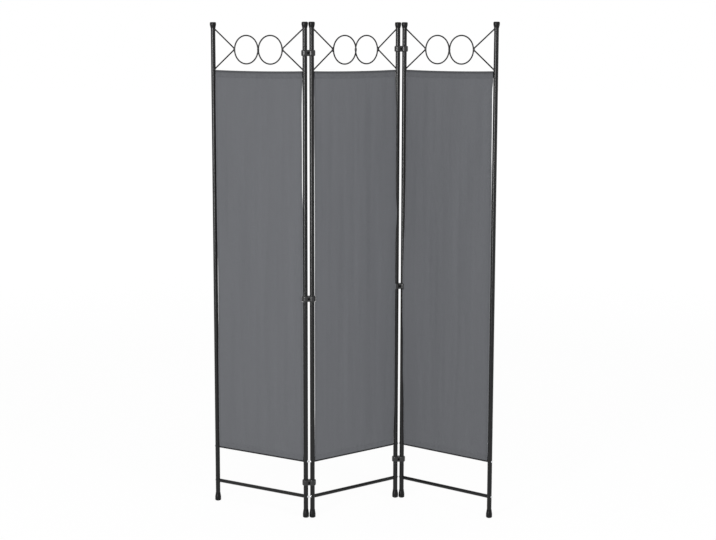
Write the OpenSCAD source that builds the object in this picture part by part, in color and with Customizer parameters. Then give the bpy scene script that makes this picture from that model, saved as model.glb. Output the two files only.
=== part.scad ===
// Folding screen of three framed cloth panels, standing in a zigzag.
// Millimetres. +Z is up and the floor is z = 0. X runs across the front of the screen, and the
// front faces -Y. The origin is on the floor, under the middle of the screen's outline.

/* [Overall] */
// Height of a panel from the floor to the top of its caps
screen_h = 1750; // [1720:5:1900]
// Width of a panel over its two posts
panel_w = 400; // [360:2:460]
// Turn of the left panel out of the plane of the front
left_turn = 32; // [15:1:50]
// Turn of the middle panel out of the plane of the front
middle_turn = 36.5; // [15:0.5:50]
// Turn of the right panel out of the plane of the front
right_turn = 39; // [15:1:50]

/* [Posts] */
// Outside diameter of a post
post_d = 16.5; // [14:0.1:17]
// Wall of the post tubes
post_wall = 1; // [0.8:0.1:1.4]
// Height of the seam between a post's lower and upper tube
seam_z = 875; // [840:5:960]
// Length of the sleeve that joins the two tubes from inside
joiner_l = 90; // [60:5:120]
// Wall of that sleeve
joiner_wall = 1; // [0.8:0.1:1.6]
// Clearance of a piece that is pushed into a tube or over it, at each side
push_fit = 0.1; // [0.05:0.01:0.15]

/* [Caps and feet] */
// Largest diameter of a top cap
cap_d = 22.4; // [21:0.1:23]
// Height of a top cap, which ends above the place where the header's wires enter the post
cap_h = 21; // [18:0.5:22]
// Thickness of a top cap's closed end
cap_end = 5; // [4:0.5:7]
// Rounding of a top cap's upper edge
cap_edge = 4; // [2:0.5:5]
// Height of the straight band at the wide end of a top cap
cap_band = 8.5; // [5:0.5:11]
// Largest diameter of a foot
foot_d = 22; // [21:0.1:23]
// Height of a foot
foot_h = 29; // [24:1:36]
// Thickness of a foot's closed end
foot_end = 5; // [4:0.5:7]
// Rounding of a foot's lower edge
foot_edge = 4; // [2:0.5:5]
// Height of the straight band at the wide end of a foot
foot_band = 12; // [6:0.5:15]
// Wall of a cap or foot where it grips the post
grip_wall = 0.7; // [0.5:0.1:1]

/* [Header] */
// Distance of the points of the header's V wires below the top of the screen
header_drop = 94; // [85:1:98]
// Height between the two wires of the header where they meet a post
header_h = 138; // [122:1:142]
// Diameter of the header wire
wire_d = 5; // [4:0.1:6]
// Outside diameter of a header ring
ring_d = 103.5; // [90:0.5:110]
// Distance of the rings' middle below the points of the V wires
ring_lower = 2; // [0:0.5:5]
// Width by which the two rings lap over each other
ring_lap = 4.5; // [3:0.1:5]
// Distance of each ring from the posts' plane, one to the front and one to the back
ring_stagger = 1.2; // [0.8:0.1:2]
// Bend radius of the wire at the point of the V, to the middle of the wire
bend_r = 7; // [5:0.5:10]
// How much thinner the wire is in the bend, at each side
bend_thinning = 0.1; // [0.05:0.01:0.15]
// Depth by which two wires sink into each other at a weld
weld_sink = 1.4; // [0.8:0.1:2]
// Depth by which the header wires reach into a post
wire_seat = 3; // [2:0.5:5]

/* [Rods and cross tube] */
// Diameter of the rods in the cloth's hems
rod_d = 6; // [5:0.1:7]
// Gap round the top rod in its hole, at each side
rod_gap = 0.2; // [0.1:0.05:0.3]
// Distance of the top rod's ends below the top of the screen
top_rod_drop = 172; // [172:1:190]
// Sag of the top rod, which the stretched cloth bends
top_rod_sag = 2.4; // [1:0.1:4]
// Depth by which the top rod reaches into a post
rod_seat = 4; // [3:0.5:6]
// Height of the bottom rod
bottom_rod_z = 206; // [185:1:230]
// Outside diameter of the cross tube near the floor
cross_d = 12.7; // [11:0.1:14]
// Wall of the cross tube
cross_wall = 1; // [0.8:0.1:1.4]
// Height of the cross tube's middle
cross_z = 77; // [60:1:90]

/* [Screws] */
// Diameter of the screws
screw_d = 4; // [3.5:0.1:4.2]
// Diameter of a screw's head
head_d = 7.8; // [7:0.1:8.4]
// Height of a screw's head
head_h = 2.4; // [2:0.1:2.8]
// Length of a frame screw's shank
frame_screw_l = 33; // [30:1:38]
// Length of the threaded plug in each end of the cross tube
plug_l = 16; // [12:1:22]
// Gap round a screw in its hole, at each side
screw_gap = 0.2; // [0.15:0.05:0.3]

/* [Hinge clips] */
// Distance between the two posts that a clip joins, middle to middle
hinge_pitch = 23.5; // [23.2:0.1:26]
// Height of a clip
clip_h = 21; // [16:1:26]
// Wall of a clip round a post
clip_wall = 4.2; // [3:0.1:4.6]
// Depth of a clip at its waist, from front to back
waist_depth = 19; // [17:0.5:21]
// Width of a clip's waist
waist_w = 15; // [13:0.5:16]
// Rounding of a clip's edges
clip_round = 3.8; // [2:0.1:4.1]
// Running gap between a clip and a post, at each side
clip_fit = 0.08; // [0.05:0.01:0.1]
// Depth to which the screw's head and the nut are let into a clip
clip_sink = 3; // [2.6:0.1:3.4]
// Height of the low clip on the left hinge line
left_low_z = 129; // [120:1:150]
// Height of the middle clip on the left hinge line
left_mid_z = 792; // [760:1:810]
// Distance of the top clip on the left hinge line below the top of the screen
left_top_drop = 106; // [90:1:130]
// Height of the low clip on the right hinge line
right_low_z = 148; // [120:1:160]
// Height of the middle clip on the right hinge line
right_mid_z = 798; // [760:1:810]
// Distance of the top clip on the right hinge line below the top of the screen
right_top_drop = 94; // [90:1:130]
// Width of a nut across its flats
nut_af = 7; // [6.5:0.1:7.2]
// Thickness of a nut
nut_h = 2.8; // [2.4:0.1:3]

/* [Cloth] */
// Thickness of the cloth
cloth_t = 0.8; // [0.6:0.1:1]
// Height of the hems that hold the rods
hem_h = 25; // [20:1:35]
// Overlap of the cloth's sides over the front of the posts
cloth_lap = 2.5; // [1:0.1:4]
// Gap between the cloth and what it lies against
cloth_gap = 0.35; // [0.3:0.05:0.6]
// Distance from the posts' plane to the middle of the open cloth
cloth_stand = 5.6; // [4.5:0.1:6.5]
// Depth of the soft upright folds
fold_depth = 1.5; // [0.5:0.1:2]
// Height over which the cloth spreads from a hem to its open width
hem_fade = 90; // [60:5:150]
// Clearance beside a clip, where the cloth's side is tucked in
clip_tuck = 0.9; // [0.5:0.1:2]

/* [Hidden] */
PANELS = ["left_panel", "middle_panel", "right_panel"];
HINGES = ["left_hinge", "right_hinge"];
CLIP_LEVELS = ["low", "middle", "top"];
PANEL_PARTS = [
    "left_post_upper", "left_post_lower", "right_post_upper", "right_post_lower", "post_joiners",
    "top_caps", "feet", "header_scroll", "top_rod", "bottom_rod", "cross_tube", "tube_plugs",
    "frame_screws", "cloth"
];

// Facets of the round pieces
SMOOTH = 64;
// A hair's breadth, which keeps two faces that only touch from overlapping
hair = 0.02;
// Gap round a screw in its own thread, at each side
thread_gap = 0.05;
// Length of a cut that goes right through a clip
cut = 40;
// How far a bore runs out past each end of what it goes through
run_out = 1;

post_r = post_d / 2;
span = panel_w - post_d;
bore_r = post_r - post_wall;
screw_r = screw_d / 2;
screw_hole_r = screw_r + screw_gap;
clip_r = post_r + clip_fit + clip_wall;

// Places of the six posts, from left to right, before the outline is centred on the origin
function turned(a) = [cos(a), sin(a)];
raw_posts = [
    [-hinge_pitch, 0] - span * turned(-left_turn),
    [-hinge_pitch, 0],
    [0, 0],
    span * turned(middle_turn),
    span * turned(middle_turn) + [hinge_pitch, 0],
    span * turned(middle_turn) + [hinge_pitch, 0] + span * turned(-right_turn)
];
end_r = max(cap_d, foot_d) / 2;
reach = [end_r, clip_r, clip_r, clip_r, clip_r, end_r];
low_corner = [for (k = [0, 1]) min([for (i = [0:5]) raw_posts[i][k] - reach[i]])];
high_corner = [for (k = [0, 1]) max([for (i = [0:5]) raw_posts[i][k] + reach[i]])];
middle = (low_corner + high_corner) / 2;
posts = [for (p = raw_posts) p - middle];
panel_turns = [-left_turn, middle_turn, -right_turn];
clip_heights = [
    [left_low_z, left_mid_z, screen_h - left_top_drop],
    [right_low_z, right_mid_z, screen_h - right_top_drop]
];

header_z = screen_h - header_drop;
top_rod_z = screen_h - top_rod_drop;
rod_r = rod_d / 2;
wire_r = wire_d / 2;
ring_r = ring_d / 2 - wire_r;
ring_x = (ring_d - ring_lap) / 2;

// Points along an arc round a centre, from one angle to another
function arc(centre, r, from, to, steps) =
    [for (i = [0:steps]) let (a = from + (to - from) * i / steps) centre + r * [cos(a), sin(a)]];
// Rises smoothly from 0 to 1 as x goes from a to b
function ramp(x, a, b) = let (t = min(1, max(0, (x - a) / (b - a)))) t * t * (3 - 2 * t);

// Frame of a panel: its left post stands at x = 0 and its right post at x = span, the front faces -y
module in_panel(i) {
    p = posts[2 * i];
    translate([p[0], p[1], 0]) rotate([0, 0, panel_turns[i]]) children();
}

// Draws its children mirrored at the right post
module at_right_post() {
    translate([span, 0, 0]) mirror([1, 0, 0]) children();
}

// Draws its children at the left post, and mirrored at the right post
module at_both_posts() {
    children();
    at_right_post() children();
}

module along_x(x) {
    translate([x, 0, 0]) rotate([0, 90, 0]) children();
}

// One length of post tube, standing on z = 0
module post_tube(h) {
    difference() {
        cylinder(r = post_r, h = h, $fn = SMOOTH);
        translate([0, 0, -run_out]) cylinder(r = bore_r, h = h + 2 * run_out, $fn = SMOOTH);
    }
}

// Lower tube of a post, drilled through both walls for the rod's and the cross tube's screws
module post_lower() {
    color([0.045, 0.046, 0.05]) difference() {
        translate([0, 0, foot_end]) post_tube(seam_z - foot_end);
        for (z = [cross_z, bottom_rod_z])
            translate([0, 0, z]) along_x(-post_d) cylinder(r = screw_hole_r, h = 2 * post_d, $fn = 32);
    }
}

// Upper tube of a post, drilled in its inner side for the top rod and the header's two wires
module post_upper() {
    color([0.045, 0.046, 0.05]) difference() {
        translate([0, 0, seam_z]) post_tube(screen_h - cap_end - seam_z);
        translate([0, 0, top_rod_z])
            along_x(0) cylinder(r = rod_r + rod_gap, h = post_d, $fn = 32);
        translate([0, 0, header_z]) v_wire_arms(wire_r + push_fit);
    }
}

// Sleeve inside the posts that joins lower and upper tube
module post_joiners() {
    joiner_r = bore_r - push_fit;
    color([0.5, 0.51, 0.52]) at_both_posts() translate([0, 0, seam_z - joiner_l / 2]) difference() {
        cylinder(r = joiner_r, h = joiner_l, $fn = SMOOTH);
        translate([0, 0, -run_out])
            cylinder(r = joiner_r - joiner_wall, h = joiner_l + 2 * run_out, $fn = SMOOTH);
    }
}

// Push-on end, its closed end on z = 0 and its mouth up. It has a straight band at the closed end,
// and then narrows in a soft curve to its grip on the post.
module end_piece(d, h, end, edge, band) {
    r = d / 2;
    mouth_r = post_r + push_fit + grip_wall;
    shoulder = [for (i = [0:8]) let (z = band + (h - band) * i / 8)
        [r + (mouth_r - r) * ramp(z, band, h), z]];
    outline = concat([[0, 0]], arc([r - edge, edge], edge, -90, 0, 5), shoulder, [[0, h]]);
    difference() {
        rotate_extrude($fn = SMOOTH) polygon(outline);
        translate([0, 0, end]) cylinder(r = post_r + push_fit, h = h, $fn = SMOOTH);
    }
}

module top_caps() {
    color([0.03, 0.03, 0.033]) at_both_posts()
        translate([0, 0, screen_h]) mirror([0, 0, 1])
            end_piece(cap_d, cap_h, cap_end, cap_edge, cap_band);
}

module feet() {
    color([0.03, 0.03, 0.033]) at_both_posts()
        end_piece(foot_d, foot_h, foot_end, foot_edge, foot_band);
}

// Bend of the V wire. Its point touches the outside of the ring beside it.
v_point_x = span / 2 - ring_x - ring_d / 2 + weld_sink - wire_r;
bend_x = v_point_x - bend_r;
arm_end = [post_r - bend_x, header_h / 2];
arm_far = norm(arm_end);
// Angle from the bend's middle to the place where the straight arm leaves the bend
bend_half = atan2(arm_end[1], arm_end[0]) - acos(bend_r / arm_far);
arm_l = sqrt(arm_far * arm_far - bend_r * bend_r) + wire_seat;
// The thinner bend reaches this many degrees into each arm, where it is still inside the arm
bend_overlap = 4;

// The two straight arms of a V wire, from the bend to their ends inside the post
module v_wire_arms(r) {
    for (m = [0, 1]) mirror([0, 0, m])
        translate([bend_x + bend_r * cos(bend_half), 0, bend_r * sin(bend_half)])
            rotate([0, -bend_half, 0]) cylinder(r = r, h = arm_l, $fn = 32);
}

// Wire bent to a V that lies on its side, with its point against the ring
module v_wire() {
    half = bend_half + bend_overlap;
    v_wire_arms(wire_r);
    translate([bend_x, 0, 0]) rotate([90, 0, 0]) rotate([0, 0, -half])
        rotate_extrude(angle = 2 * half, $fn = SMOOTH)
            translate([bend_r, 0]) circle(r = wire_r - bend_thinning, $fn = 32);
}

module header_ring() {
    rotate([90, 0, 0]) rotate_extrude($fn = 96) translate([ring_r, 0]) circle(r = wire_r, $fn = 32);
}

// Two rings that lap a little and a V wire at each side, welded into one scroll
module header_scroll() {
    color([0.045, 0.046, 0.05]) translate([0, 0, header_z]) {
        at_both_posts() v_wire();
        for (s = [-1, 1])
            translate([span / 2 + s * ring_x, s * ring_stagger, -ring_lower]) header_ring();
    }
}

// Top rod, bent to a flat arc by the stretched cloth. Its ends rest in the posts.
clear_half = span / 2 - post_r;
rod_curve_r = (clear_half * clear_half + top_rod_sag * top_rod_sag) / (2 * top_rod_sag);
rod_half = asin((span / 2 - bore_r + rod_seat) / rod_curve_r);
rod_centre_rise = sqrt(rod_curve_r * rod_curve_r - clear_half * clear_half);
// Height of the rod's middle line at x, compared with its height where it enters the posts
function rod_rise(x) = rod_centre_rise - sqrt(rod_curve_r * rod_curve_r - pow(x - span / 2, 2));

module top_rod() {
    color([0.045, 0.046, 0.05])
        translate([span / 2, 0, top_rod_z + rod_centre_rise])
            rotate([90, 0, 0]) rotate([0, 0, -90 - rod_half])
                rotate_extrude(angle = 2 * rod_half, $fn = 2880)
                    translate([rod_curve_r, 0]) circle(r = rod_r, $fn = 32);
}

// Bottom rod, tapped at both ends for the screws that hold it to the posts, a little deeper than they go
tap_spare = 2;
module bottom_rod() {
    rod_end = post_r + push_fit;
    tap_l = frame_screw_l - post_d + tap_spare;
    color([0.045, 0.046, 0.05]) translate([0, 0, bottom_rod_z]) difference() {
        along_x(rod_end) cylinder(r = rod_r, h = span - 2 * rod_end, $fn = SMOOTH);
        at_both_posts() along_x(0) cylinder(r = screw_r + thread_gap, h = post_r + tap_l, $fn = 32);
    }
}

// Cross tube near the floor, its ends cut to the round of the posts
module cross_tube() {
    color([0.045, 0.046, 0.05]) translate([0, 0, cross_z]) difference() {
        along_x(0) cylinder(r = cross_d / 2, h = span, $fn = SMOOTH);
        along_x(-run_out) cylinder(r = cross_d / 2 - cross_wall, h = span + 2 * run_out, $fn = SMOOTH);
        at_both_posts() translate([0, 0, -cross_d])
            cylinder(r = post_r + hair, h = 2 * cross_d, $fn = SMOOTH);
    }
}

// Threaded plugs in the ends of the cross tube, set back a little from the posts
plug_set_back = 1;
plug_x = post_r + plug_set_back;
module tube_plugs() {
    color([0.55, 0.56, 0.58]) translate([0, 0, cross_z]) at_both_posts() difference() {
        along_x(plug_x) cylinder(r = cross_d / 2 - cross_wall - push_fit, h = plug_l, $fn = SMOOTH);
        along_x(plug_x - run_out)
            cylinder(r = screw_r + thread_gap, h = plug_l + 2 * run_out, $fn = 32);
    }
}

// Pan-head screw with a cross slot. The head's underside is on z = 0 and the shank goes down.
module screw(l) {
    r = head_d / 2;
    flat_r = r * 0.4;
    rim_h = head_h / 3;
    slot_l = head_d * 0.56;
    slot_w = head_d * 0.12;
    slot_h = head_h * 0.45;
    outline = concat(
        [[0, 0], [r, 0]],
        [for (a = [0:15:75]) [flat_r + (r - flat_r) * cos(a), rim_h + (head_h - rim_h) * sin(a)]],
        [[flat_r, head_h], [0, head_h]]
    );
    difference() {
        union() {
            rotate_extrude($fn = SMOOTH) polygon(outline);
            translate([0, 0, -l]) cylinder(r = screw_r, h = l + rim_h, $fn = 32);
        }
        for (a = [0, 90]) rotate([0, 0, a])
            translate([-slot_l / 2, -slot_w / 2, head_h - slot_h]) cube([slot_l, slot_w, slot_h + run_out]);
    }
}

// Screws through the posts into the bottom rod and the cross tube's plugs
module frame_screws() {
    color([0.78, 0.79, 0.8]) at_both_posts() for (z = [cross_z, bottom_rod_z])
        translate([-post_r - hair, 0, z]) rotate([0, -90, 0]) screw(frame_screw_l);
}

// Ring of a clip round one post
module clip_ring() {
    h = clip_h / 2;
    e = clip_round;
    outline = concat(
        [[0, -h]],
        arc([clip_r - e, e - h], e, -90, 0, 4),
        arc([clip_r - e, h - e], e, 0, 90, 4),
        [[0, h]]
    );
    rotate_extrude($fn = SMOOTH) polygon(outline);
}

// Waist of a clip, with rounded edges
module clip_waist() {
    h = clip_h / 2;
    d = waist_depth / 2;
    e = clip_round;
    outline = concat(
        arc([d - e, e - h], e, -90, 0, 3),
        arc([d - e, h - e], e, 0, 90, 3),
        arc([e - d, h - e], e, 90, 180, 3),
        arc([e - d, e - h], e, 180, 270, 3)
    );
    rotate([90, 0, 90]) translate([0, 0, -waist_w / 2]) linear_extrude(height = waist_w) polygon(outline);
}

// Half of a figure-of-eight clip, its middle on the origin. side is -1 for the front, 1 for the back.
module clip_shell(side) {
    color([0.06, 0.061, 0.065]) difference() {
        union() {
            for (s = [-1, 1]) translate([s * hinge_pitch / 2, 0, 0]) clip_ring();
            clip_waist();
        }
        for (s = [-1, 1]) translate([s * hinge_pitch / 2, 0, -clip_h])
            cylinder(r = post_r + clip_fit, h = 2 * clip_h, $fn = SMOOTH);
        rotate([90, 0, 0]) cylinder(r = screw_hole_r, h = 2 * cut, center = true, $fn = 32);
        translate([0, clip_sink - waist_depth / 2, 0]) rotate([90, 0, 0])
            cylinder(r = head_d / 2 + screw_gap, h = cut, $fn = 48);
        translate([0, waist_depth / 2 - clip_sink, 0]) rotate([-90, 0, 0])
            cylinder(d = (nut_af + 2 * screw_gap) / cos(30), h = cut, $fn = 6);
        translate([-2 * cut, side > 0 ? -2 * cut : 0, -cut]) cube([4 * cut, 2 * cut, 2 * cut]);
    }
}

// Frame of a hinge line: its middle between the two posts, x towards the right-hand post
module in_hinge(i) {
    p = (posts[2 * i + 1] + posts[2 * i + 2]) / 2;
    translate([p[0], p[1], 0]) children();
}

// The screw ends this far inside the clip's back
screw_short = 0.6;
module clip_screws(i) {
    l = waist_depth - clip_sink - screw_short;
    color([0.02, 0.02, 0.022]) for (z = clip_heights[i])
        translate([0, clip_sink - waist_depth / 2 - hair, z]) rotate([90, 0, 0]) screw(l);
}

module clip_nuts(i) {
    color([0.55, 0.56, 0.58]) for (z = clip_heights[i])
        translate([0, waist_depth / 2 - clip_sink + hair, z]) rotate([-90, 0, 0]) difference() {
            cylinder(d = nut_af / cos(30), h = nut_h, $fn = 6);
            translate([0, 0, -run_out])
                cylinder(r = screw_r + thread_gap, h = nut_h + 2 * run_out, $fn = 32);
        }
}

// Half width of the hems, which lie between the posts, and of the open cloth, which laps over them
cloth_r = rod_r + cloth_gap + cloth_t / 2;
cloth_front = post_r + cloth_gap + cloth_t / 2;
hem_half = span / 2 - post_r - 2 * cloth_gap;
side_half = span / 2 - post_r + cloth_lap;
// Half width beside a clip: the cloth's inner face passes in front of the round of the clip
tuck_half = span / 2 - sqrt(clip_r * clip_r - pow(post_r + cloth_gap, 2)) - clip_tuck;
// Heights of the seams that close the hems
low_seam_z = bottom_rod_z - cloth_r + hem_h;
high_seam_z = top_rod_z + cloth_r - hem_h;
// Number of strips across the cloth, and of steps in the half circle round a rod
STRIPS = 18;
ROUND_STEPS = 5;
// Distances of the rows of points from a rod, and from the middle clip
rod_rows = [9, 45, 110];
clip_rows = [75, 30, 13];
// Angle that the waves of the folds turn through over half the cloth, how far they drift, and the
// height in mm for each degree of the drift
fold_turn = 540;
fold_drift = 40;
drift_pitch = 5;
// Angle by which the folds of one panel are shifted from those of the panel before
fold_shift = 70;
// How much the strips of the cloth crowd towards its sides, from 0 to 1
strip_crowding = 0.55;

// How far a height is from the hems: 0 at the rods and 1 on the open cloth
function open_cloth(z) =
    ramp(z, bottom_rod_z, bottom_rod_z + hem_fade) * (1 - ramp(z, top_rod_z - hem_fade, top_rod_z));
// How near a height is to a clip: 1 beside it and 0 above and below
function beside_clip(z, clip_z) = 1 - ramp(abs(z - clip_z), clip_rows[2], clip_rows[1]);
// Half width of the cloth on one side. clip_z is the height of the clip there, or 0 for none.
function half_width(z, clip_z) =
    let (
        w = hem_half + (side_half - hem_half) * open_cloth(z),
        c = clip_z > 0 ? beside_clip(z, clip_z) : 0
    )
    w + (tuck_half - w) * c;
// Place of the cloth in front of the posts' plane. s runs from -1 to 1 across the cloth.
function cloth_y(s, z, phase) =
    let (
        belly = cloth_stand + (cloth_front - cloth_stand) * pow(abs(s), 3),
        fold = fold_depth * (1 - s * s) * sin(fold_turn * s + phase + fold_drift * sin(z / drift_pitch)),
        y = min(cloth_front, belly + fold)
    )
    -(cloth_r + (y - cloth_r) * open_cloth(z));
// Heights of the rows of points on the open cloth, from the top rod down
function row_heights(clip_z) =
    let (high = top_rod_z - rod_rows[2], low = bottom_rod_z + rod_rows[2], near = clip_rows[0])
    concat(
        [for (d = rod_rows) top_rod_z - d],
        [for (t = [0.4, 0.8]) high + (clip_z + near - high) * t],
        [for (d = clip_rows) clip_z + d],
        [for (k = [2:-1:0]) clip_z - clip_rows[k]],
        [(clip_z - near + low) / 2],
        [for (k = [2:-1:0]) bottom_rod_z + rod_rows[k]]
    );
// One face of the cloth at s, as [height, y]: up the back of the top hem, down the front and up
// the back of the bottom hem. face is 1 for the outer face and -1 for the inner one.
function cloth_face(s, phase, rows, face) =
    let (
        o = face * cloth_t / 2,
        behind = cloth_t + cloth_gap
    )
    concat(
        [[high_seam_z, cloth_y(s, high_seam_z, phase) + behind + o]],
        [for (a = arc([0, 0], cloth_r + o, 0, 180, ROUND_STEPS)) [top_rod_z + a[1], a[0]]],
        [for (z = rows) [z, cloth_y(s, z, phase) - o]],
        [for (a = arc([0, 0], cloth_r + o, 180, 360, ROUND_STEPS)) [bottom_rod_z + a[1], a[0]]],
        [[low_seam_z, cloth_y(s, low_seam_z, phase) + behind + o]]
    );
// How far the cloth at a height follows the bend of the top rod
function follows_rod(z) = ramp(z, top_rod_z - 2 * hem_h, top_rod_z - rod_d);

// One sheet with a hem round each rod. It is a strip of constant thickness, swept across the panel.
module cloth(i) {
    clips = [i > 0 ? clip_heights[i - 1][1] : 0, i < 2 ? clip_heights[i][1] : 0];
    rows = row_heights(i < 2 ? clips[1] : clips[0]);
    phase = fold_shift * i;
    columns = [for (j = [0:STRIPS]) let (t = 2 * j / STRIPS - 1)
        (1 - strip_crowding) * t + strip_crowding * sin(90 * t)];
    rings = [for (s = columns)
        let (
            outer = cloth_face(s, phase, rows, 1),
            inner = cloth_face(s, phase, rows, -1),
            loop = concat(outer, [for (k = [len(inner) - 1:-1:0]) inner[k]])
        )
        [for (q = loop)
            let (x = span / 2 + s * half_width(q[0], clips[s < 0 ? 0 : 1]))
            [x, q[1], q[0] + rod_rise(x) * follows_rod(q[0])]]];
    n = len(rings[0]);
    last = STRIPS * n;
    sides = [for (j = [0:STRIPS - 1]) for (k = [0:n - 1])
        let (a = j * n + k, b = j * n + (k + 1) % n, c = a + n, d = b + n)
        each [[a, c, d], [a, d, b]]];
    ends = [for (k = [0:n / 2 - 2])
        let (a = k, b = k + 1, c = n - 1 - k, d = n - 2 - k)
        each [[a, b, d], [a, d, c], [last + a, last + d, last + b], [last + a, last + c, last + d]]];
    color([0.4, 0.41, 0.43]) polyhedron(points = [for (r = rings) each r], faces = concat(sides, ends));
}

for (i = [0:2]) {
    p = PANELS[i];
    in_panel(i) post_upper();
    in_panel(i) post_lower();
    in_panel(i) at_right_post() post_upper();
    in_panel(i) at_right_post() post_lower();
    in_panel(i) post_joiners();
    in_panel(i) top_caps();
    in_panel(i) feet();
    in_panel(i) header_scroll();
    in_panel(i) top_rod();
    in_panel(i) bottom_rod();
    in_panel(i) cross_tube();
    in_panel(i) tube_plugs();
    in_panel(i) frame_screws();
    in_panel(i) cloth(i);
}

for (i = [0:1]) {
    h = HINGES[i];
    for (k = [0:2]) {
        c = str(h, "_", CLIP_LEVELS[k], "_clip_");
        at = [0, 0, clip_heights[i][k]];
        in_hinge(i) translate(at) clip_shell(-1);
        in_hinge(i) translate(at) clip_shell(1);
    }
    in_hinge(i) clip_screws(i);
    in_hinge(i) clip_nuts(i);
}
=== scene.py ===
import functools
import math
from typing import NamedTuple

import bmesh
import bpy
from mathutils import Matrix, Vector, noise


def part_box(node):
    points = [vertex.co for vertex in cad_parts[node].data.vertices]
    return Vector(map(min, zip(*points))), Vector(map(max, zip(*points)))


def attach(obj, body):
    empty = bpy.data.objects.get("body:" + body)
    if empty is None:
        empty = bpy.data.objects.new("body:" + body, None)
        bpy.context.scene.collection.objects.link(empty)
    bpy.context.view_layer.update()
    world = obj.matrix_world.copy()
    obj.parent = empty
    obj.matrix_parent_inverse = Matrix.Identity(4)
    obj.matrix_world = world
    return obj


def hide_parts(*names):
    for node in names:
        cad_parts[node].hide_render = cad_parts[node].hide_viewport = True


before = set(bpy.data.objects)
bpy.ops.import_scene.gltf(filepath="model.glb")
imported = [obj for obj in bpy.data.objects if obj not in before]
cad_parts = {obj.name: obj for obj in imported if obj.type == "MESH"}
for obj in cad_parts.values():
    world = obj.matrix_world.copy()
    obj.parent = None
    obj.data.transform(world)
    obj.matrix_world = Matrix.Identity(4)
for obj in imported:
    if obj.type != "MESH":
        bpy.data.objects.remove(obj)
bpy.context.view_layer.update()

# Folding screen of three framed cloth panels. Everything is in metres, in the frame of the packed
# model: Z is up, and the front of the screen faces -Y.

MM = 0.001
PANELS = ("left_panel", "middle_panel", "right_panel")

# The camera that was fitted to the photograph: its picture, focal length and shift in pixels, its
# sensor in millimetres, its place, and its turns down and to the right in degrees
PHOTO_W = 716
FOCAL_PX = 1494.3
SHIFT_X_PX = -26.6
SHIFT_Y_PX = -22
SENSOR = 36
CAMERA_PLACE = Vector((-0.1504, -5.2563, 1.7082))
CAMERA_DOWN = 8.15
CAMERA_TURN = -0.86

# Frame of the screen
POST_R = 8.25 * MM
ROD_R = 3 * MM
TOP_ROD_SAG = 2.4 * MM


def middle_of(node):
    """Middle of a CAD node's box."""
    low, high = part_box(node)
    return (low + high) / 2


def ramp(x, a, b):
    """Rises smoothly from 0 to 1 as x goes from a to b."""
    t = min(1, max(0, (x - a) / (b - a)))
    return t * t * (3 - 2 * t)


def between(x, stops):
    """Value at x of a smooth line through stops, which are pairs of place and value, from the top down."""
    for (a, va), (b, vb) in zip(stops, stops[1:]):
        if x >= b:
            return vb + (va - vb) * ramp(x, b, a)
    return stops[-1][1]


def finished(name, bm, body, material):
    """Object of a finished bmesh, which rides on a body."""
    mesh = bpy.data.meshes.new(name)
    bm.to_mesh(mesh)
    bm.free()
    mesh.materials.append(material)
    mesh.shade_smooth()
    piece = bpy.data.objects.new(name, mesh)
    bpy.context.scene.collection.objects.link(piece)
    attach(piece, body)
    return piece


# Materials


def colour(r, g, b):
    return (r, g, b, 1.0)


WHITE = colour(1, 1, 1)
COAT_DARK = colour(0.0022, 0.0024, 0.0026)
COAT_LIGHT = colour(0.0042, 0.0044, 0.0048)
COAT_DUSTY = colour(0.014, 0.014, 0.0145)
CLOTH_DARK = colour(0.138, 0.143, 0.155)
CLOTH_LIGHT = colour(0.163, 0.168, 0.181)
# Near-black painted shade of the cloth: where a hem or a rod blocks the light that comes through, and under
# the low hem
CLOTH_PAINTED_SHADE = colour(0.012, 0.0125, 0.014)
THREAD_DARK = colour(0.085, 0.088, 0.095)
THREAD_LIGHT = colour(0.125, 0.128, 0.136)

# How fine the noise of each finish is, in waves to a metre
COAT_CLOUDS = 22
COAT_PEEL = 1100
COAT_GRAIN = 4200
COAT_DUST = 310
PLASTIC_PATCHES = 60
STEEL_MARKS = 2600
STEEL_STAINS = 240
THREAD_TWIST = 2400
# The cloth's slubs are fine across a thread and long along it
SLUB_FINE = 900
SLUB_LONG = 22
TONE_ACROSS = 16
TONE_ALONG = 2.2

# How deep the relief of each finish is
PEEL_DEPTH = 0.01 * MM
GRAIN_DEPTH = 0.003 * MM
PLASTIC_DEPTH = 0.006 * MM
MARK_DEPTH = 0.01 * MM
WEAVE_DEPTH = 0.05 * MM
SLUB_DEPTH = 0.08 * MM
TWIST_DEPTH = 0.05 * MM

# Range that most of a noise lies in, the range that shows as dust or as tone, and the dust's share
NOISE_FROM, NOISE_TO = 0.3, 0.7
DUST_FROM, DUST_TO = 0.6, 0.78
DUST_SHARE = 0.5
TONE_FROM, TONE_TO = 0.35, 0.95

# How much the roughness of plastic and steel goes below and above its middle
PLASTIC_VARIES = 0.04
STEEL_SMOOTHER, STEEL_ROUGHER = 0.06, 0.08

# Distance between two threads, how much the ribs of the threads add to their crossings, and how much
# the slubs and the broad streaks each add to the tone of the cloth
THREAD_PITCH = 0.55 * MM
RIB_SHARE = 0.5
TONE_SHARE = 0.5


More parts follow.
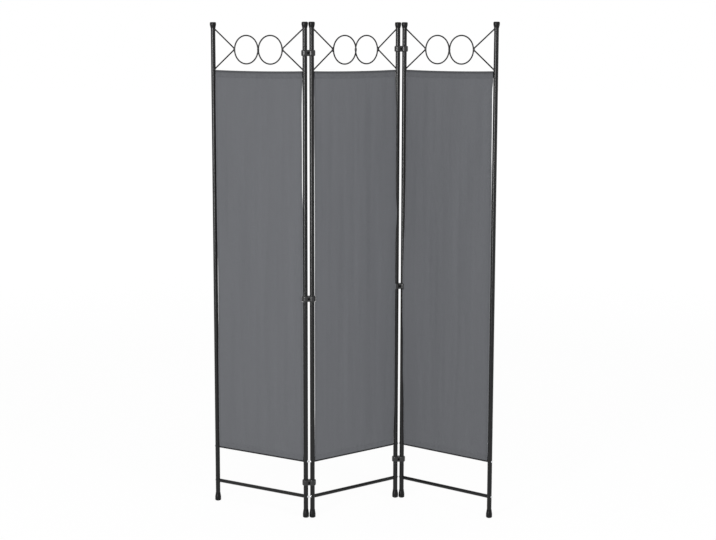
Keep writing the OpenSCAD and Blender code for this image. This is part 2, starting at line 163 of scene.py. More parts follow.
class Finish:
    """A material with its node tree and its Principled shader."""

    def __init__(self, name):
        self.material = bpy.data.materials.new(name)
        self.material.use_nodes = True
        self.tree = self.material.node_tree
        self.shader = self.tree.nodes["Principled BSDF"]

    def node(self, kind, inputs=None, **settings):
        """Adds a node. inputs gives a value, or the output that is linked, for each input."""
        made = self.tree.nodes.new(kind)
        for key, value in settings.items():
            setattr(made, key, value)
        for key, value in (inputs or {}).items():
            self.put(made.inputs[key], value)
        return made

    def put(self, socket, value):
        if isinstance(value, bpy.types.NodeSocket):
            self.tree.links.new(value, socket)
        else:
            socket.default_value = value

    def set(self, **inputs):
        """Sets the shader's inputs, with _ for the spaces in their names."""
        for key, value in inputs.items():
            self.put(self.shader.inputs[key.replace("_", " ")], value)

    def place(self):
        return self.node("ShaderNodeTexCoord").outputs["Object"]

    def noise(self, vector, scale, detail=2.0, roughness=0.5):
        return self.node(
            "ShaderNodeTexNoise",
            {"Vector": vector, "Scale": scale, "Detail": detail, "Roughness": roughness},
        ).outputs["Fac"]

    def math(self, operation, a, b=0.0):
        return self.node("ShaderNodeMath", {0: a, 1: b}, operation=operation).outputs[0]

    def spread(self, value, low=0.0, high=1.0, from_low=NOISE_FROM, from_high=NOISE_TO):
        """Maps value from one range to another."""
        return self.node(
            "ShaderNodeMapRange",
            {"Value": value, "From Min": from_low, "From Max": from_high, "To Min": low, "To Max": high},
        ).outputs["Result"]

    def mix(self, share, a, b):
        """Mix of two colours."""
        made = self.node("ShaderNodeMix", data_type="RGBA")
        self.put(made.inputs["Factor"], share)
        self.put(made.inputs["A"], a)
        self.put(made.inputs["B"], b)
        return made.outputs["Result"]

    def bump(self, height, distance, strength=1.0, after=None):
        """Normal of a relief, on top of the relief that after gives."""
        made = self.node("ShaderNodeBump", {"Height": height, "Distance": distance, "Strength": strength})
        if after:
            self.put(made.inputs["Normal"], after)
        return made.outputs["Normal"]


def powder_coat():
    """Satin black powder coat: a fine orange peel, cloudy gloss and a trace of dust."""
    f = Finish("powder_coat_satin_black")
    place = f.place()
    clouds = f.noise(place, COAT_CLOUDS, detail=3)
    peel = f.noise(place, COAT_PEEL, detail=1)
    grain = f.noise(place, COAT_GRAIN, detail=0)
    specks = f.noise(place, COAT_DUST, detail=4, roughness=0.65)
    dust = f.spread(specks, 0.0, DUST_SHARE, DUST_FROM, DUST_TO)
    f.set(
        Base_Color=f.mix(dust, f.mix(f.spread(clouds), COAT_DARK, COAT_LIGHT), COAT_DUSTY),
        Specular_IOR_Level=0.3,
        Roughness=f.spread(clouds, 0.2, 0.25),
        Normal=f.bump(grain, GRAIN_DEPTH, strength=0.6, after=f.bump(peel, PEEL_DEPTH, strength=0.8)),
    )
    return f.material


def moulded_plastic(name, dark, light, rough, grain_waves, specular):
    """Moulded plastic with a fine eroded grain."""
    f = Finish(name)
    place = f.place()
    grain = f.noise(place, grain_waves)
    f.set(
        Base_Color=f.mix(f.spread(f.noise(place, PLASTIC_PATCHES)), dark, light),
        Specular_IOR_Level=specular,
        Roughness=f.spread(grain, rough - PLASTIC_VARIES, rough + PLASTIC_VARIES),
        Normal=f.bump(grain, PLASTIC_DEPTH, strength=0.7),
    )
    return f.material


def steel(name, dark, light, rough):
    """Plated or bare steel with turning marks and faint cloudy stains."""
    f = Finish(name)
    place = f.place()
    stains = f.noise(place, STEEL_STAINS, detail=3, roughness=0.6)
    f.set(
        Base_Color=f.mix(f.spread(stains), dark, light),
        Metallic=1.0,
        Roughness=f.spread(stains, rough - STEEL_SMOOTHER, rough + STEEL_ROUGHER),
        Normal=f.bump(f.noise(place, STEEL_MARKS, detail=1), MARK_DEPTH, strength=0.6),
    )
    return f.material


def woven_cloth():
    """Mid grey plain weave. The piece's UV map is in metres along the two threads, and its attribute
    layers holds painted shade: how much of the light that comes through is blocked by a second layer
    or by a rod, and at the low rod also the shade under the hem."""
    f = Finish("polyester_plain_weave")
    uv = f.node("ShaderNodeUVMap", uv_map="threads").outputs["UV"]

    def noise_on_threads(across, along, detail):
        """Noise with its own number of waves across the cloth and along it."""
        scale = {0: uv, 1: (across, along, 1)}
        return f.noise(f.node("ShaderNodeVectorMath", scale, operation="MULTIPLY").outputs[0], 1.0, detail)

    parts = f.node("ShaderNodeSeparateXYZ", {"Vector": uv})
    turns = math.pi / THREAD_PITCH
    warp = f.math("SINE", f.math("MULTIPLY", parts.outputs["X"], turns))
    weft = f.math("SINE", f.math("MULTIPLY", parts.outputs["Y"], turns))
    crossing = f.math("MULTIPLY", warp, weft)
    ribs = f.math("ADD", f.math("ABSOLUTE", warp), f.math("ABSOLUTE", weft))
    weave = f.math("ADD", crossing, f.math("MULTIPLY", ribs, RIB_SHARE))
    upright = noise_on_threads(SLUB_FINE, SLUB_LONG, 2)
    level = noise_on_threads(SLUB_LONG, SLUB_FINE, 2)
    slubs = f.math("ADD", upright, level)
    broad = noise_on_threads(TONE_ACROSS, TONE_ALONG, 3)
    tone = f.math("ADD", f.math("MULTIPLY", slubs, TONE_SHARE), f.math("MULTIPLY", broad, TONE_SHARE))
    grey = f.mix(f.spread(tone, 0.0, 1.0, TONE_FROM, TONE_TO), CLOTH_DARK, CLOTH_LIGHT)
    # Painted shade, read from the attribute layers: darker where the light through the cloth is blocked
    layers = f.node("ShaderNodeAttribute", attribute_name="layers").outputs["Fac"]
    f.set(
        Base_Color=f.mix(layers, grey, CLOTH_PAINTED_SHADE),
        Roughness=0.88,
        Specular_IOR_Level=0.25,
        Sheen_Weight=0.12,
        Sheen_Roughness=0.5,
        Normal=f.bump(weave, WEAVE_DEPTH, strength=0.5, after=f.bump(slubs, SLUB_DEPTH, strength=0.5)),
    )
    return f.material


def sewing_thread():
    """Twisted thread, a shade darker than the cloth."""
    f = Finish("sewing_thread")
    twist = f.noise(f.place(), THREAD_TWIST, detail=1)
    f.set(
        Base_Color=f.mix(f.spread(twist), THREAD_DARK, THREAD_LIGHT),
        Roughness=0.75,
        Normal=f.bump(twist, TWIST_DEPTH, strength=0.6),
    )
    return f.material


COAT = powder_coat()
CLOTH = woven_cloth()
THREAD = sewing_thread()
SLOT_FINISHES = {
    "powder_coat": COAT,
    "end_plastic": moulded_plastic(
        "end_plastic_black",
        dark=colour(0.003, 0.003, 0.0033),
        light=colour(0.006, 0.006, 0.0064),
        rough=0.33,
        grain_waves=1800,
        specular=0.18,
    ),
    "clip_plastic": moulded_plastic(
        "clip_plastic_black",
        dark=colour(0.005, 0.0051, 0.0055),
        light=colour(0.009, 0.0091, 0.0096),
        rough=0.28,
        grain_waves=1500,
        specular=0.5,
    ),
    "black_steel": steel(
        "screw_black_oxide",
        dark=colour(0.006, 0.006, 0.0065),
        light=colour(0.012, 0.012, 0.0125),
        rough=0.36,
    ),
    "zinc": steel(
        "screw_bright_zinc",
        dark=colour(0.66, 0.67, 0.69),
        light=colour(0.82, 0.83, 0.84),
        rough=0.27,
    ),
    "bare_steel": steel(
        "sleeve_bare_steel",
        dark=colour(0.4, 0.4, 0.41),
        light=colour(0.55, 0.55, 0.56),
        rough=0.38,
    ),
    "cloth": CLOTH,
}

for cad_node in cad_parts.values():
    for cad_slot in cad_node.material_slots:
        cad_slot.material = SLOT_FINISHES[cad_slot.material.name.split(".")[0]]


# Panels


class Panel:
    """Places in one panel: x runs from its left post to its right one, f is the distance in front of
    the posts' plane, and z is the height."""

    def __init__(self, name, seed):
        self.name = name
        self.short_name = name.split("_")[0]
        self.seed = seed
        left = middle_of(f"{name}_left_post_lower")
        right = middle_of(f"{name}_right_post_lower")
        self.left = Vector((left.x, left.y, 0))
        self.along = Vector((right.x - left.x, right.y - left.y, 0))
        self.span = self.along.length
        self.along.normalize()
        self.front = Vector((self.along.y, -self.along.x, 0))
        self.low_rod_z = middle_of(f"{name}_bottom_rod").z
        self.high_rod_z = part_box(f"{name}_top_rod")[0].z + ROD_R + TOP_ROD_SAG
        self.header_z = middle_of(f"{name}_header_scroll").z

    def place(self, x, f, z):
        return self.left + self.along * x + self.front * f + Vector((0, 0, z))

    def rod_sag(self, x):
        """How far the top rod hangs below its ends at x."""
        t = (x - self.span / 2) / (self.span / 2 - POST_R)
        return TOP_ROD_SAG * max(0, 1 - t * t)


# Cloth

# Thickness of the cloth, and the gap between the layers of a hem
CLOTH_T = 0.6 * MM
LAYER_GAP = 0.1 * MM
# Radius of the cloth's middle where it turns round a rod, and the height of the hem there
HEM_R = 3.75 * MM
HEM_H = 25 * MM
# Width of a side hem, and how far its seam and its turned-in strip lie from the side
SIDE_HEM = 9 * MM
SIDE_SEAM = 7.2 * MM
SIDE_EDGE = 0.4 * MM
# Distance of the cloth's middle from the posts' plane, in the open and where a side lies on its
# post, and the two reaches over the post between which the side comes forward
OPEN_STAND = 5.6 * MM
SIDE_STAND = 9.6 * MM
STAND_FROM = -MM
STAND_TO = 2.5 * MM
# Height over which the cloth comes forward from a rod
HEM_FADE = 90 * MM
# Share of a hem's flap, from its seam, over which it goes back to the rear of the rod
FLAP_FROM = -0.05
FLAP_TO = 0.9
# Depth and width of a seam's groove, how much the cloth stands out over a side hem, and where that
# step starts and ends, before and after the hem's inner edge
SEAM_DIP = 0.3 * MM
SEAM_W = 1.3 * MM
HEM_STEP = 0.3 * MM
STEP_BEFORE = 1.2 * MM
STEP_AFTER = 0.6 * MM
# Least distances of the cloth's middle from the axis of a post, bare or with a clip round it
ROUND_POST = 9.45 * MM
ROUND_CLIP = 13.85 * MM
# Height above and below a clip's middle up to which the cloth keeps clear of it, and where that ends
CLIP_HALF_H = 9.4 * MM
CLIP_FADE = 11.6 * MM
# Least distance of the cloth's side from the axis of a post with a clip round it. Where the panels
# fold with their cloths face to face, the waist of the clip comes between the two cloths.
BESIDE_RING = 8.4 * MM
BESIDE_WAIST = 10.2 * MM

# How far the sides of each cloth reach over the post, as pairs of height in metres and reach in
# millimetres, from the top down. A side that falls short of its post has a reach below 0.
LEFT_REACH = {
    "left_panel": ((1.57, -3.6), (1.05, -4), (0.83, -7.4), (0.7, -6.8), (0.55, -4), (0.21, -3.8)),
    "middle_panel": (
        (1.57, -0.3), (1.55, 4.8), (1.39, 4.8), (1.21, 3.6), (1.0, 3.2), (0.76, 4), (0.41, 3.6), (0.31, 4.8),
        (0.236, 4.8), (0.214, -0.3),
    ),
    "right_panel": (
        (1.57, -1.5), (1.5, -4.5), (1.25, -4.5), (1.065, -2), (0.95, 0.5), (0.83, 2), (0.71, 2), (0.6, 0.6),
        (0.48, 0.6), (0.36, -2.8), (0.21, -3.2),
    ),
}
RIGHT_REACH = {
    "left_panel": (
        (1.57, -0.3), (1.552, 3), (1.53, 2), (1.46, -1.2), (1.39, -1.2), (1.325, -0.4), (1.21, 1.2),
        (1.1, 4.6), (0.236, 4.8), (0.214, -0.3),
    ),
    "middle_panel": (
        (1.57, -6), (1.5, -5), (1.44, -2), (1.18, -2), (1.065, 1.2), (0.95, -2), (0.36, -2.2), (0.24, -6),
    ),
    "right_panel": (
        (1.57, -0.3), (1.554, 1), (1.52, -1.7), (1.4, -0.8), (1.325, 0.8), (1.23, 3.4), (1.12, 4.4),
        (0.236, 4.7), (0.214, -0.3),
    ),
}


class Ripple(NamedTuple):
    """Noise of a depth, with its waves to a unit across and down. shift is added to the cloth's seed."""

    depth: float
    across: float
    down: float
    shift: float = 0

    def at(self, x, z, seed):
        return self.depth * noise.noise(Vector((x * self.across, z * self.down, seed + self.shift)))


BROAD_FOLD = Ripple(2 * MM, 17, 0.8)
NARROW_FOLD = Ripple(1.2 * MM, 33, 1.5, 9.1)
SMALL_FOLD = Ripple(0.5 * MM, 75, 4.5, 3.3)
PUCKER = Ripple(0.7 * MM, 95, 12, 5.9)
CORNER_PULL = Ripple(0.8 * MM, 55, 3, 7.7)
MOTTLE = Ripple(0.9, 110, 160)
# How far the folds drift sideways, their waves to a metre, and the place of that noise
FOLD_DRIFT = 6 * MM
DRIFT_WAVES = 2.1
DRIFT_SHIFT = 4.7
# Distances over which puckers and corner pulls die away, and how much of the distance from the side
# counts as distance from a corner
PUCKER_FADE = 22 * MM
CORNER_FADE = 120 * MM
CORNER_SHARE = 0.9
# Powers of the shape across the cloth: where it comes forward, and where folds and puckers end
STAND_POWER = 3
FOLD_POWER = 4
PUCKER_POWER = 8

# Painted shade of the doubled top hem, the share of it at the low hem and the side hems, and the
# painted shade where the rods are behind the cloth, which at the low rod also stands for the shade under the
# hem
HEM_SHADE = 0.13
HALF_SHADE = 0.5
HIGH_ROD_SHADE = 0.5
LOW_ROD_SHADE = 1
# Where each shade fades out: from and to, measured from the edge of a hem or of a side hem or, in
# radii of the rod, from the rod's axis
HEM_SHADE_EDGE = (-1.5 * MM, 0.5 * MM)
SIDE_SHADE_EDGE = (-MM, MM)
HIGH_ROD_EDGE = (0.8, 1.7)
LOW_ROD_EDGE = (0.4, 1.3)


class Cloth:
    """Shape of one panel's cloth. s runs from -1 to 1 across it, and a is the way along it, from the
    raw edge behind the top rod, over the rod, down the front and round the bottom rod."""

    def __init__(self, panel, clips):
        self.panel = panel
        self.clips = clips
        self.top = panel.high_rod_z
        self.bottom = panel.low_rod_z
        self.high_seam = self.top + HEM_R - HEM_H
        self.low_seam = self.bottom - HEM_R + HEM_H
        self.flap = self.top - self.high_seam
        self.turn = math.pi * HEM_R
        self.drop = self.top - self.bottom
        self.length = 2 * self.flap + 2 * self.turn + self.drop
        self.half = panel.span / 2
        self.seed = panel.seed

    @functools.cache
    def opened(self, z):
        """0 at the rods and 1 on the open cloth."""
        low = ramp(z, self.bottom, self.bottom + HEM_FADE)
        return low * (1 - ramp(z, self.top - HEM_FADE, self.top))

    @functools.cache
    def side(self, right, z):
        """Half width of the cloth at its left or right side, and how far that side stands forward."""
        reach = MM * between(z, (RIGHT_REACH if right else LEFT_REACH)[self.panel.name])
        width = self.half - POST_R + reach
        if self.clips[right]:
            clip_z, away = self.clips[right]
            near = 1 - ramp(abs(z - clip_z), CLIP_HALF_H, CLIP_FADE)
            width += (min(width, self.half - away) - width) * near
        stand = OPEN_STAND + (SIDE_STAND - OPEN_STAND) * ramp(reach, STAND_FROM, STAND_TO)
        return width, stand

    def x_at(self, s, z):
        return self.half + s * self.side(s > 0, z)[0]

    def relief(self, x, z, s):
        """Soft folds, puckers at the seams and the pull at the corners."""
        seed = self.seed
        drift = FOLD_DRIFT * noise.noise(Vector((seed, z * DRIFT_WAVES, DRIFT_SHIFT)))
        folds = BROAD_FOLD.at(x + drift, z, seed) + NARROW_FOLD.at(x - drift, z, seed)
        folds += SMALL_FOLD.at(x, z, seed)
        from_corner = min(self.top - z, z - self.bottom) + CORNER_SHARE * (1 - abs(s)) * self.half
        folds += CORNER_PULL.at(from_corner, s, seed) * math.exp(-from_corner / CORNER_FADE)
        from_seam = min(abs(z - self.high_seam), abs(z - self.low_seam))
        pucker = PUCKER.at(x, from_seam, seed) * math.exp(-from_seam / PUCKER_FADE)
        return folds * (1 - s**FOLD_POWER) * self.opened(z) + pucker * (1 - s**PUCKER_POWER)

    def front(self, s, z):
        """Distance of the front of the cloth from the posts' plane."""
        width, stand = self.side(s > 0, z)
        x = self.half + s * width
        belly = OPEN_STAND + (stand - OPEN_STAND) * abs(s) ** STAND_POWER
        f = HEM_R + (belly - HEM_R) * self.opened(z) + self.relief(x, z, s)
        for seam in (self.high_seam, self.low_seam):
            f -= SEAM_DIP * math.exp(-(((z - seam) / SEAM_W) ** 2))
        from_side = (1 - abs(s)) * width
        on_hem = 1 - ramp(from_side, SIDE_HEM - STEP_BEFORE, SIDE_HEM + STEP_AFTER)
        f += HEM_STEP * on_hem * self.opened(z)
        return max(f, self.least(x, z))

    def least(self, x, z):
        """Least distance at which the cloth clears the posts and the clips round them."""
        found = 0
        for clip, post_x in zip(self.clips, (0, self.panel.span)):
            away = abs(x - post_x)
            if away < ROUND_POST:
                found = math.sqrt(ROUND_POST**2 - away**2)
            if clip and away < ROUND_CLIP:
                near = 1 - ramp(abs(z - clip[0]), CLIP_HALF_H, CLIP_FADE)
                away = max(away, BESIDE_RING)
                found = max(found, math.sqrt(ROUND_CLIP**2 - away**2) * near)
        return found

    def point(self, s, a):
        """Place in the panel of the middle of the cloth, as x, f and z."""
        if a < self.flap:
            z = self.high_seam + a
            seam_f = self.front(s, self.high_seam) - CLOTH_T - LAYER_GAP
            f = seam_f + (-HEM_R - seam_f) * ramp(a / self.flap, FLAP_FROM, FLAP_TO)
        elif a < self.flap + self.turn:
            angle = (a - self.flap) / HEM_R
            z = self.top + HEM_R * math.sin(angle)
            f = -HEM_R * math.cos(angle)
        elif a < self.flap + self.turn + self.drop:
            z = self.top - (a - self.flap - self.turn)
            f = self.front(s, z)
        elif a < self.flap + 2 * self.turn + self.drop:
            angle = (a - self.flap - self.turn - self.drop) / HEM_R
            z = self.bottom - HEM_R * math.sin(angle)
            f = HEM_R * math.cos(angle)
        else:
            b = a - self.flap - 2 * self.turn - self.drop
            z = self.bottom + b
            seam_f = self.front(s, self.low_seam) - CLOTH_T - LAYER_GAP
            f = -HEM_R + (seam_f + HEM_R) * ramp(b / self.flap, 1 - FLAP_TO, 1 - FLAP_FROM)
        x = self.x_at(s, min(self.top, max(self.bottom, z)))
        hang = self.panel.rod_sag(x) * ramp(z, self.top - 2 * HEM_H, self.top - 2 * ROD_R)
        return x, f, z - hang

    def layers(self, s, x, z):
        """Painted shade: the light that comes through is blocked at a doubled hem, and most where a rod
        is behind; at the low rod it also stands for the shade under the hem.
        """

        def inside(distance, size, edge):
            """1 well inside of a size and 0 outside of it."""
            return 1 - ramp(distance, size + edge[0], size + edge[1])

        under_rod = self.top - self.panel.rod_sag(x) - z
        over_rod = z - self.bottom
        hem = HEM_H - HEM_R
        from_side = (1 - abs(s)) * self.half
        # Painted shade where the hems double the cloth, mottled at random
        doubled = max(
            inside(under_rod, hem, HEM_SHADE_EDGE),
            HALF_SHADE * inside(over_rod, hem, HEM_SHADE_EDGE),
            HALF_SHADE * inside(from_side, SIDE_HEM, SIDE_SHADE_EDGE),
        )
        doubled *= 1 + MOTTLE.at(x, z, self.seed)
        # Painted shade where a rod is behind the cloth, and under the low hem
        high_rod = inside(under_rod / ROD_R, 0, HIGH_ROD_EDGE)
        low_rod = inside(over_rod / ROD_R, 0, LOW_ROD_EDGE)
        return max(HEM_SHADE * doubled, HIGH_ROD_SHADE * high_rod, LOW_ROD_SHADE * low_rod)


# Grid of the cloth: its columns, how much they crowd towards the sides, and the number of rows on each
# flap, round each rod, on the two zones next to it, beside the middle clips, and above and below them.
# Last, the columns of a turned-in strip.
CLOTH_COLUMNS = 140
CROWDING = 0.55
FLAP_ROWS = 7
TURN_ROWS = 10
HEM_ZONE = 34 * MM
HEM_ROWS = 30
NEXT_ZONE = 130 * MM
NEXT_ROWS = 18
CLIP_ZONE = 2 * CLIP_FADE + 10 * MM
CLIP_ROWS = 40
ABOVE_ROWS = 52
BELOW_ROWS = 34
STRIP_COLUMNS = 5

# Stitches: their distance, their half length, width and height, how far they stand out of the cloth,
# and the steps across and along the cloth that show which way a seam runs
STITCH_PITCH = 3.6 * MM
STITCH_HALF = Vector((1.25, 0.3, 0.22)) * MM
STITCH_PROUD = 0.05 * MM
STEP_ACROSS = 0.004
STEP_ALONG = 0.8 * MM


def stations(lengths_and_steps):
    """Places along a line that is divided into stretches, each a length and its number of steps."""
    places = [0.0]
    for length, steps in lengths_and_steps:
        start = places[-1]
        places += [start + length * (k + 1) / steps for k in range(steps)]
    return places


def cloth_rows(cloth):
    """Places along the cloth of the rows of its grid, close together at the hems and beside the clips."""
    clip_z = (cloth.clips[0] or cloth.clips[1])[0]
    above = cloth.top - clip_z - CLIP_ZONE / 2 - HEM_ZONE - NEXT_ZONE
    below = clip_z - cloth.bottom - CLIP_ZONE / 2 - HEM_ZONE - NEXT_ZONE
    half = [(cloth.flap, FLAP_ROWS), (cloth.turn, TURN_ROWS), (HEM_ZONE, HEM_ROWS), (NEXT_ZONE, NEXT_ROWS)]
    rest = [(above, ABOVE_ROWS), (CLIP_ZONE, CLIP_ROWS), (below, BELOW_ROWS)]
    return stations(half + rest + half[::-1])


def crowded(j, columns):
    """s of a column. Columns are closer together towards the sides."""
    t = 2 * j / columns - 1
    return (1 - CROWDING) * t + CROWDING * math.sin(math.pi / 2 * t)


def shaped_grid(bm, across, along, shape, threads, layers):
    """Adds a grid with a column at each place in across and a row at each place in along, and puts
    its points where shape says. threads is its UV map, in metres, and layers its attribute of painted shade."""
    made = bmesh.ops.create_grid(
        bm, x_segments=len(across) - 1, y_segments=len(along) - 1, size=0.5, matrix=Matrix.Identity(4)
    )
    for v in made["verts"]:
        j = round((v.co.x + 0.5) * (len(across) - 1))
        i = round((v.co.y + 0.5) * (len(along) - 1))
        v.co, v[layers], flat = shape(across[j], along[i])
        for loop in v.link_loops:
            loop[threads].uv = flat


def make_cloth(cloth):
    """The sheet with its hems round both rods, and the turned-in strips behind its sides."""
    panel = cloth.panel
    bm = bmesh.new()
    threads = bm.loops.layers.uv.new("threads")
    # The attribute layers carries the painted shade of the cloth's hems and rods
    layers = bm.verts.layers.float.new("layers")

    def sheet(s, a):
        x, f, z = cloth.point(s, a)
        return panel.place(x, f, z), cloth.layers(s, x, z), (s * cloth.half, a)

    across = [crowded(j, CLOTH_COLUMNS) for j in range(CLOTH_COLUMNS + 1)]
    along = cloth_rows(cloth)
    shaped_grid(bm, across, along, sheet, threads, layers)

    start = cloth.flap + cloth.turn + HEM_H
    end = start + cloth.drop - 2 * HEM_H
    open_rows = [start] + [a for a in along if start < a < end] + [end]
    strip_w = SIDE_HEM - SIDE_EDGE
    inward_places = [SIDE_EDGE + strip_w * k / STRIP_COLUMNS for k in range(STRIP_COLUMNS + 1)]
    for side in (-1, 1):

        def strip(inward, a):
            s = side * (1 - inward / cloth.half)
            x, f, z = cloth.point(s, a)
            behind = CLOTH_T + LAYER_GAP
            flat = (side * (cloth.half + inward), a)
            # The turned-in strips carry half the painted shade of a doubled hem
            return panel.place(x, f - behind, z), HALF_SHADE * HEM_SHADE, flat

        shaped_grid(bm, inward_places, open_rows, strip, threads, layers)

    bmesh.ops.recalc_face_normals(bm, faces=bm.faces)
    piece = finished(f"{panel.short_name}_cloth_sheet", bm, panel.name, CLOTH)
    wall = piece.modifiers.new("thickness", "SOLIDIFY")
    wall.thickness = CLOTH_T
    wall.offset = 0
    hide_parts(f"{panel.name}_cloth")
    return piece


def make_stitches(cloth):
    """Lock stitches along the two hems and down both sides."""
    panel = cloth.panel
    one = bmesh.new()
    bmesh.ops.create_uvsphere(
        one, u_segments=6, v_segments=4, radius=1, matrix=Matrix.Diagonal((*STITCH_HALF, 1))
    )
    stitch = bpy.data.meshes.new("stitch")
    one.to_mesh(stitch)
    one.free()
    bm = bmesh.new()

    def sew(s, a, ds, da):
        """Lays a stitch at s and a, towards the place that is ds and da further."""
        here = panel.place(*cloth.point(s, a))
        ahead = panel.place(*cloth.point(s + ds, a + da)) - here
        ahead.normalize()
        sideways = panel.front.cross(ahead).normalized()
        out = ahead.cross(sideways).normalized()
        turn = Matrix((ahead, sideways, out)).transposed().to_4x4()
        lift = out * (CLOTH_T / 2 + STITCH_PROUD)
        laid = stitch.copy()
        laid.transform(Matrix.Translation(here + lift) @ turn)
        bm.from_mesh(laid)
        bpy.data.meshes.remove(laid)

    front_start = cloth.flap + cloth.turn
    for seam in (cloth.high_seam, cloth.low_seam):
        count = int(panel.span / STITCH_PITCH)
        for k in range(1, count):
            sew(-1 + 2 * k / count, front_start + cloth.top - seam, STEP_ACROSS, 0)
    count = int((cloth.drop - 2 * HEM_H) / STITCH_PITCH)
    for right in (False, True):
        for k in range(count):
            a = front_start + HEM_H + STITCH_PITCH * (k + 0.5)
            s = 1 - SIDE_SEAM / cloth.side(right, cloth.top - (a - front_start))[0]
            sew(s if right else -s, a, 0, STEP_ALONG)
    bpy.data.meshes.remove(stitch)
    return finished(f"{panel.short_name}_cloth_stitching", bm, panel.name, THREAD)


# Header: its wire and rings, how far the rings' middles are from the panel's middle and below the
# header's own, how far apart they are in depth, and the height between the ends of a V wire
WIRE_R = 2.5 * MM
RING_R = 49.25 * MM
RING_X = 49.5 * MM
RING_LOWER = 2 * MM
RING_STAGGER = 1.2 * MM
WIRE_ENDS_H = 138 * MM
# Half width, depth and height of the weld beads, which are under the powder coat
V_POINT_HALF = Vector((3.5, 3.4, 8.5)) * MM
RING_LAP_HALF = Vector((4, 3.6, 9.5)) * MM
WIRE_END_HALF = Vector((2.2, 3.6, 4.2)) * MM
# How far a bead sinks into what it joins, and how far a bead at a post is inside of the wire's end
BEAD_SINK = 0.4 * MM
WIRE_END_IN = 0.8 * MM
# Height of a bead's lumps as a share of its size, their waves, and the seeds of the three kinds
LUMP = 0.12
LUMP_WAVES = 2.3
RING_LAP_SEED = 1.7
V_POINT_SEED = 3.1
WIRE_END_SEED = 5.3


def make_weld_beads(panel):
    """Lumpy beads where the rings lap, where a V wire meets a ring and where it meets a post."""
    bm = bmesh.new()
    turn = Matrix((panel.along, -panel.front, Vector((0, 0, 1)))).transposed().to_4x4()

    def bead(x, f, z, half, seed):
        made = bmesh.ops.create_icosphere(bm, subdivisions=3, radius=1, matrix=Matrix.Identity(4))
        for v in made["verts"]:
            v.co *= 1 + LUMP * noise.noise(v.co * LUMP_WAVES + Vector((seed, panel.seed, 0)))
            v.co = Vector((v.co.x * half.x, v.co.y * half.y, v.co.z * half.z))
        bmesh.ops.transform(bm, matrix=Matrix.Translation(panel.place(x, f, z)) @ turn, verts=made["verts"])

    middle = panel.span / 2
    bead(middle, 0, panel.header_z - RING_LOWER, RING_LAP_HALF, RING_LAP_SEED)
    point_x = RING_X + RING_R + WIRE_R - BEAD_SINK
    point_z = panel.header_z - RING_LOWER / 2
    end_x = middle - POST_R - BEAD_SINK
    for side in (-1, 1):
        stagger = -side * RING_STAGGER / 2
        bead(middle + side * point_x, stagger, point_z, V_POINT_HALF, V_POINT_SEED + side)
        for up in (-1, 1):
            end_z = panel.header_z + up * (WIRE_ENDS_H / 2 - WIRE_END_IN)
            bead(middle + side * end_x, 0, end_z, WIRE_END_HALF, WIRE_END_SEED + side + 2 * up)
    return finished(f"{panel.short_name}_header_welds", bm, panel.name, COAT)


def clip_height(hinge):
    """Height of the middle clip of a hinge line."""
    return middle_of(f"{hinge}_middle_clip_front").z


# The middle clips beside the left and right side of each cloth, as height and least distance
LEFT_CLIP = (clip_height("left_hinge"), BESIDE_RING)
RIGHT_CLIP = (clip_height("right_hinge"), BESIDE_WAIST)
CLOTH_CLIPS = {
    "left_panel": (None, LEFT_CLIP),
    "middle_panel": (LEFT_CLIP, RIGHT_CLIP),
    "right_panel": (RIGHT_CLIP, None),
}
FIRST_SEED = 11.3
SEED_STEP = 17.9

for number, panel_name in enumerate(PANELS):
    panel = Panel(panel_name, FIRST_SEED + SEED_STEP * number)
    cloth = Cloth(panel, CLOTH_CLIPS[panel_name])
    sheet_piece = make_cloth(cloth)
    stitches = make_stitches(cloth)
    make_weld_beads(panel)


# Studio

# Floor: its half width and colour, the strength of the white that it shows, the share of that white
# near the screen, and the distances between which the share rises to 1
FLOOR_HALF = 40
FLOOR_PALE = colour(0.8, 0.8, 0.8)
FLOOR_GLOW = 1.05
FLOOR_CLEAR = 0.9
FLOOR_NEAR = 3
FLOOR_FAR = 12
# Strength of the world's light, then places and watts of the lamps, which share their size and aim
AMBIENT = 0.48
KEY_PLACE = Vector((-2.4, -4.2, 1.7))
KEY_WATTS = 79
FILL_PLACE = Vector((3.2, -3.6, 1.7))
FILL_WATTS = 62
GLINT_PLACE = Vector((-2.8, -4.0, 1.25))
GLINT_WATTS = 90
LAMP_W = 0.7
LAMP_H = 2.4
AIM = Vector((0, 0, 0.95))


def seen_directly(tree):
    """1 for camera, glossy and transmission rays, and 0 for the others."""
    rays = tree.nodes.new("ShaderNodeLightPath")
    total = rays.outputs["Is Camera Ray"]
    for name in ("Is Glossy Ray", "Is Transmission Ray"):
        larger = tree.nodes.new("ShaderNodeMath")
        larger.operation = "MAXIMUM"
        tree.links.new(total, larger.inputs[0])
        tree.links.new(rays.outputs[name], larger.inputs[1])
        total = larger.outputs[0]
    return total


def make_floor():
    """Pale floor that shows almost white, keeps a faint shadow and is as white as the backdrop
    far away."""
    bm = bmesh.new()
    bmesh.ops.create_grid(bm, x_segments=1, y_segments=1, size=FLOOR_HALF, matrix=Matrix.Identity(4))
    mesh = bpy.data.meshes.new("floor")
    bm.to_mesh(mesh)
    bm.free()
    floor = bpy.data.objects.new("floor", mesh)
    bpy.context.scene.collection.objects.link(floor)
    f = Finish("floor_pale")
    tree = f.tree
    f.set(Base_Color=FLOOR_PALE, Roughness=0.9, Specular_IOR_Level=0.0)
    white = f.node("ShaderNodeEmission", {"Color": WHITE, "Strength": FLOOR_GLOW})
    away = f.node("ShaderNodeVectorMath", {0: f.place()}, operation="LENGTH").outputs["Value"]
    clear = f.spread(away, FLOOR_CLEAR, 1.0, FLOOR_NEAR, FLOOR_FAR)
    share = f.math("MULTIPLY", seen_directly(tree), clear)
    both = f.node("ShaderNodeMixShader", {0: share, 1: f.shader.outputs[0], 2: white.outputs[0]})
    tree.links.new(both.outputs[0], tree.nodes["Material Output"].inputs["Surface"])
    mesh.materials.append(f.material)


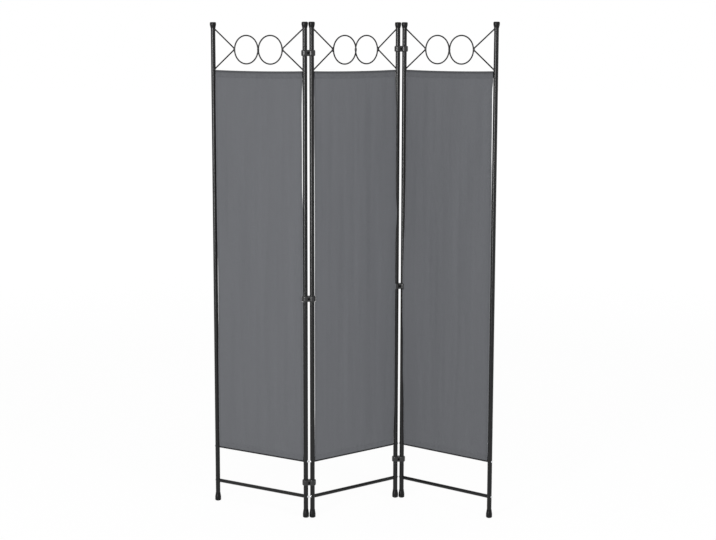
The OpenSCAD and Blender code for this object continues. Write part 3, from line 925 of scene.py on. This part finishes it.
def make_world():
    """Even pale light, with a white backdrop for what is seen directly or mirrored."""
    world = bpy.data.worlds.new("studio")
    bpy.context.scene.world = world
    world.use_nodes = True
    tree = world.node_tree
    light = tree.nodes["Background"]
    backdrop = tree.nodes.new("ShaderNodeBackground")
    for background, strength in ((light, AMBIENT), (backdrop, 1.0)):
        background.inputs["Color"].default_value = WHITE
        background.inputs["Strength"].default_value = strength
    both = tree.nodes.new("ShaderNodeMixShader")
    tree.links.new(seen_directly(tree), both.inputs[0])
    tree.links.new(light.outputs[0], both.inputs[1])
    tree.links.new(backdrop.outputs[0], both.inputs[2])
    tree.links.new(both.outputs[0], tree.nodes["World Output"].inputs["Surface"])


def make_soft_box(name, place, watts, lights=True, shines=True):
    """Large soft lamp that is aimed at the screen. lights says whether it lights what it falls on,
    and shines whether it shows as a highlight."""
    data = bpy.data.lights.new(name, "AREA")
    data.shape = "RECTANGLE"
    data.size = LAMP_W
    data.size_y = LAMP_H
    data.energy = watts
    lamp = bpy.data.objects.new(name, data)
    bpy.context.scene.collection.objects.link(lamp)
    lamp.location = place
    lamp.rotation_euler = (AIM - lamp.location).to_track_quat("-Z", "Y").to_euler()
    lamp.visible_diffuse = lights
    lamp.visible_glossy = shines


def make_camera():
    """Camera at the photograph's viewing angle."""
    data = bpy.data.cameras.new("camera")
    data.sensor_width = SENSOR
    data.sensor_fit = "HORIZONTAL"
    data.lens = SENSOR * FOCAL_PX / PHOTO_W
    data.shift_x = -SHIFT_X_PX / PHOTO_W
    data.shift_y = SHIFT_Y_PX / PHOTO_W
    camera = bpy.data.objects.new("camera", data)
    bpy.context.scene.collection.objects.link(camera)
    camera.location = CAMERA_PLACE
    camera.rotation_euler = (math.radians(90 - CAMERA_DOWN), 0, math.radians(CAMERA_TURN))
    bpy.context.scene.camera = camera


make_floor()
make_world()
make_soft_box("key_light", KEY_PLACE, KEY_WATTS)
make_soft_box("fill_light", FILL_PLACE, FILL_WATTS, shines=False)
make_soft_box("glint_light", GLINT_PLACE, GLINT_WATTS, lights=False)
make_camera()
bpy.context.scene.view_settings.view_transform = "Standard"
